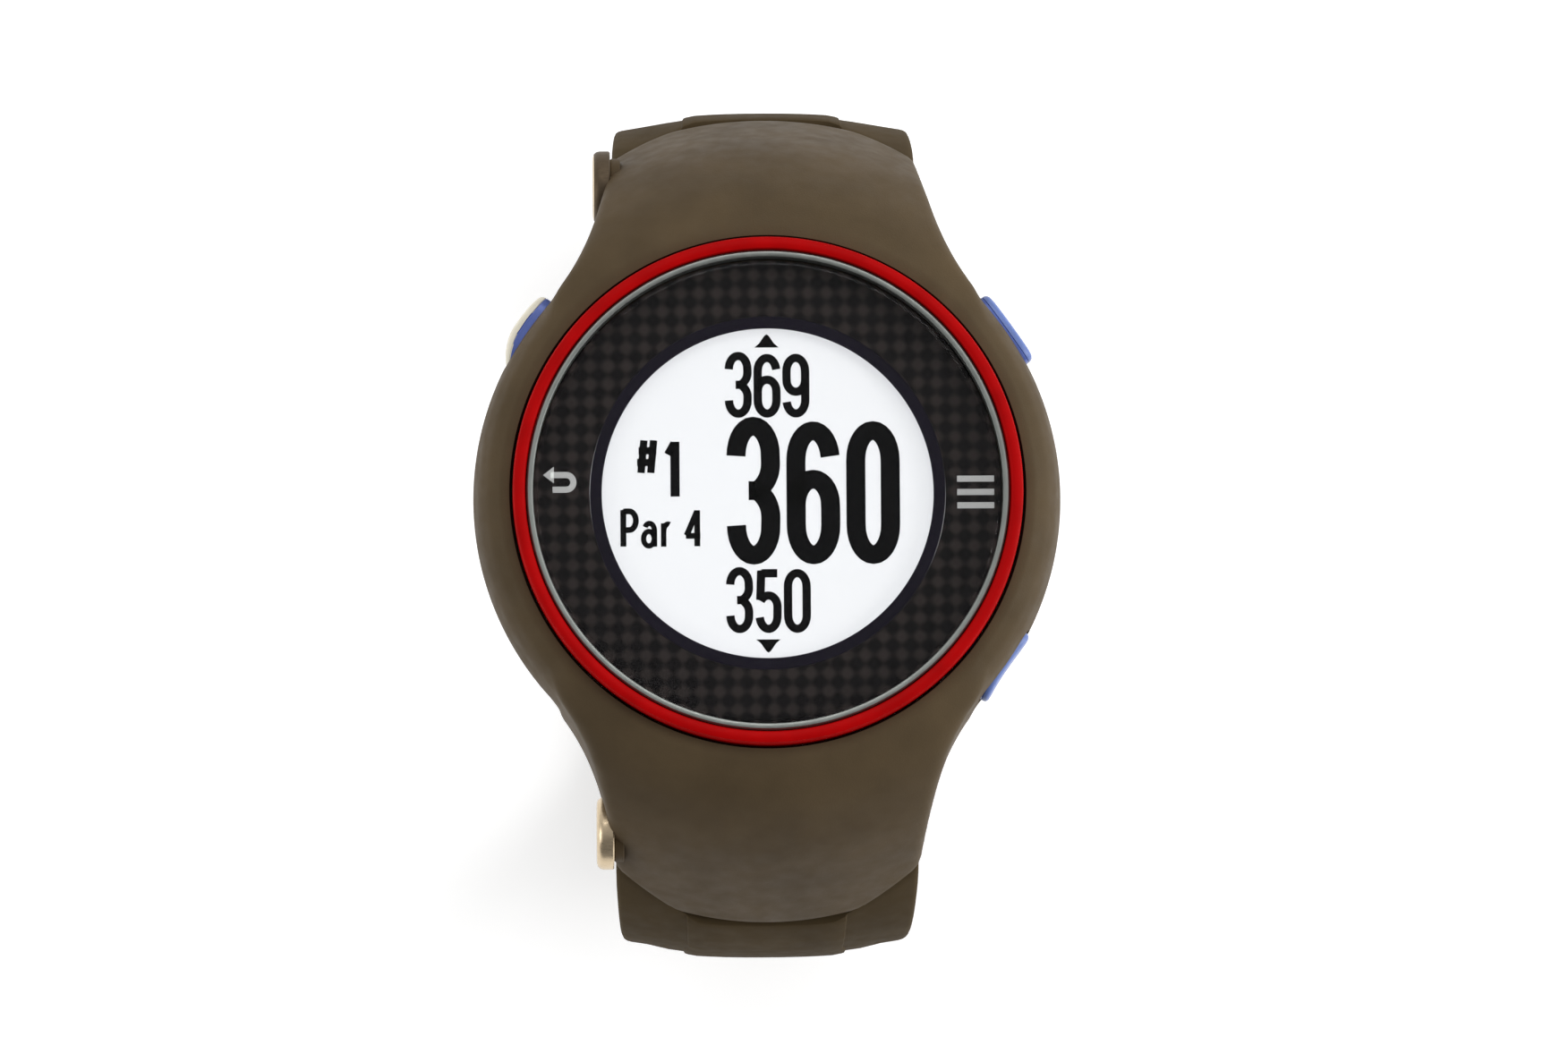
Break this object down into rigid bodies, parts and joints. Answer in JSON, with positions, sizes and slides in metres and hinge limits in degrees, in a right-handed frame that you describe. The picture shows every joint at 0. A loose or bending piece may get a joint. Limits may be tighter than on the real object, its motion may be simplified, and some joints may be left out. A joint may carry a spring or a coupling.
{
  "type": "golf gps watch",
  "caption": "Wrist watch with a round touch display in a red ring, side buttons, hooded lugs and an open moulded rubber strap with a buckle.",
  "frame": {"origin": "under the dial centre, on the surface that the open strap stands on", "axes": "+Z out of the glass, +Y towards 12 o'clock, +X towards 3 o'clock"},
  "size_m": [0.0462, 0.0668, 0.066],
  "materials": {
    "housing_plastic": "fine satin, olive brown",
    "strap_rubber": "satin moulded rubber, olive brown",
    "seal_rubber": "matte black",
    "steel": "satin",
    "gold_contact": "polished plating",
    "red_metal": "anodised satin red",
    "silver_metal": "satin",
    "clear_glass": "clear, chamfered edge",
    "carbon_weave": "woven fibre pattern under clear coat",
    "mask_print": "dark blue-black print",
    "display_white": "bright reflective display with dark segments",
    "white_plastic": "satin",
    "black_plastic": "satin",
    "circuit_board": "green solder mask",
    "antenna_ceramic": "unglazed with a metal patch",
    "foil": "dull",
    "flex_film": "amber film",
    "button_metal": "satin blue with a bright cream edge",
    "pin_metal": "warm satin"
  },
  "bodies": {
    "case": {"top_housing": "housing_plastic", "rear_cover": "housing_plastic", "rear_gasket": "seal_rubber", "rear_screw_1": "steel", "rear_screw_2": "steel", "rear_screw_3": "steel", "rear_screw_4": "steel", "charge_contact_1": "gold_contact", "charge_contact_2": "gold_contact", "charge_contact_3": "gold_contact", "charge_contact_4": "gold_contact", "bezel_ring": "red_metal", "silver_ring": "silver_metal", "glass": "clear_glass", "touch_panel": "clear_glass", "dial_ring": "carbon_weave", "display_mask": "mask_print", "display_panel": "display_white", "backlight_plate": "white_plastic", "inner_frame": "black_plastic", "main_board": "circuit_board", "gps_antenna": "antenna_ceramic", "shield_can": "foil", "battery": "foil", "display_flex": "flex_film", "vibration_motor": "steel", "back_button_seal": "seal_rubber", "back_button_spring": "steel", "back_button_switch": "black_plastic", "power_button_seal": "seal_rubber", "power_button_spring": "steel", "power_button_switch": "black_plastic", "menu_button_seal": "seal_rubber", "menu_button_spring": "steel", "menu_button_switch": "black_plastic", "upper_strap_root": "strap_rubber", "upper_strap_pin": "pin_metal", "lower_strap_root": "strap_rubber", "lower_strap_pin": "pin_metal"},
    "motor_weight": {"motor_weight": "steel"},
    "back_button": {"back_button": "button_metal", "back_button_clip": "steel"},
    "power_button": {"power_button": "button_metal", "power_button_clip": "steel"},
    "menu_button": {"menu_button": "button_metal", "menu_button_clip": "steel"},
    "upper_strap": {"upper_strap_band": "strap_rubber", "buckle_bar": "steel", "fixed_keeper": "strap_rubber"},
    "lower_strap": {"lower_strap_band": "strap_rubber"},
    "free_keeper": {"free_keeper": "strap_rubber"},
    "buckle_frame": {"buckle_frame": "steel"},
    "buckle_tongue": {"buckle_tongue": "steel"}
  },
  "joints": [
    {"name": "upper_strap_flex", "type": "hinge", "parent": "case", "child": "upper_strap", "pos_m": [0, 0.0328, 0.0423], "axis": [1, 0, 0], "range_deg": [0, 60], "stiffness_Nm_per_rad": 0.12},
    {"name": "lower_strap_flex", "type": "hinge", "parent": "case", "child": "lower_strap", "pos_m": [0, -0.0328, 0.0423], "axis": [-1, 0, 0], "range_deg": [0, 60], "stiffness_Nm_per_rad": 0.12},
    {"name": "buckle_frame_hinge", "type": "hinge", "parent": "upper_strap", "child": "buckle_frame", "pos_m": [0, 0.02062, 0.00589], "axis": [1, 0, 0], "range_deg": [-15, 40]},
    {"name": "buckle_tongue_hinge", "type": "hinge", "parent": "buckle_frame", "child": "buckle_tongue", "pos_m": [0, 0.02062, 0.00589], "axis": [1, 0, 0], "range_deg": [0, 80]},
    {"name": "free_keeper_slide", "type": "slide", "parent": "upper_strap", "child": "free_keeper", "axis": [0, 0.4598, 0.888], "range_m": [0, 0.0035]},
    {"name": "back_button_press", "type": "slide", "parent": "case", "child": "back_button", "axis": [0.8171, -0.5764, 0], "range_m": [0, 0.0006], "stiffness_N_per_m": 300, "deforming": ["back_button_spring"]},
    {"name": "power_button_press", "type": "slide", "parent": "case", "child": "power_button", "axis": [-0.8161, -0.5779, 0], "range_m": [0, 0.0006], "stiffness_N_per_m": 300, "deforming": ["power_button_spring"]},
    {"name": "menu_button_press", "type": "slide", "parent": "case", "child": "menu_button", "axis": [-0.8131, 0.5821, 0], "range_m": [0, 0.0006], "stiffness_N_per_m": 300, "deforming": ["menu_button_spring"]},
    {"name": "motor_weight_spin", "type": "hinge", "parent": "case", "child": "motor_weight", "pos_m": [0.0023, 0.0096, 0.0545], "axis": [1, 0, 0], "continuous": true}
  ]
}
